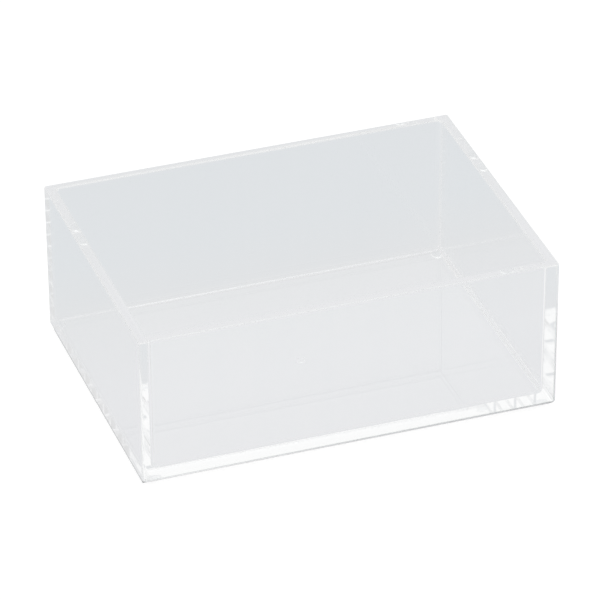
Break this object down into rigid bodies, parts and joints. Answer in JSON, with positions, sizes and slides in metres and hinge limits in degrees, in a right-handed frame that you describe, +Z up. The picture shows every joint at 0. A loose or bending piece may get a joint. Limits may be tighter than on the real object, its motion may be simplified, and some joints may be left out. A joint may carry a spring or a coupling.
{
  "type": "clear storage case",
  "caption": "Clear open-topped rectangular storage case: a thick-walled moulded tray with drafted sides, standing on small round clear feet.",
  "frame": {"origin": "centre of the footprint, on the surface that the feet stand on", "axes": "+X along the long side, +Y towards the far long side, +Z up out of the open top"},
  "size_m": [0.12, 0.0874, 0.046],
  "materials": {
    "clear_styrene": "clear, polished, a faint cool tint in the thickness of the wall",
    "clear_bumper": "clear, slightly softer gloss than the tray"
  },
  "bodies": {
    "root": {"case_body": "clear_styrene", "foot_front_left": "clear_bumper", "foot_front_right": "clear_bumper", "foot_back_left": "clear_bumper", "foot_back_right": "clear_bumper"}
  },
  "joints": []
}
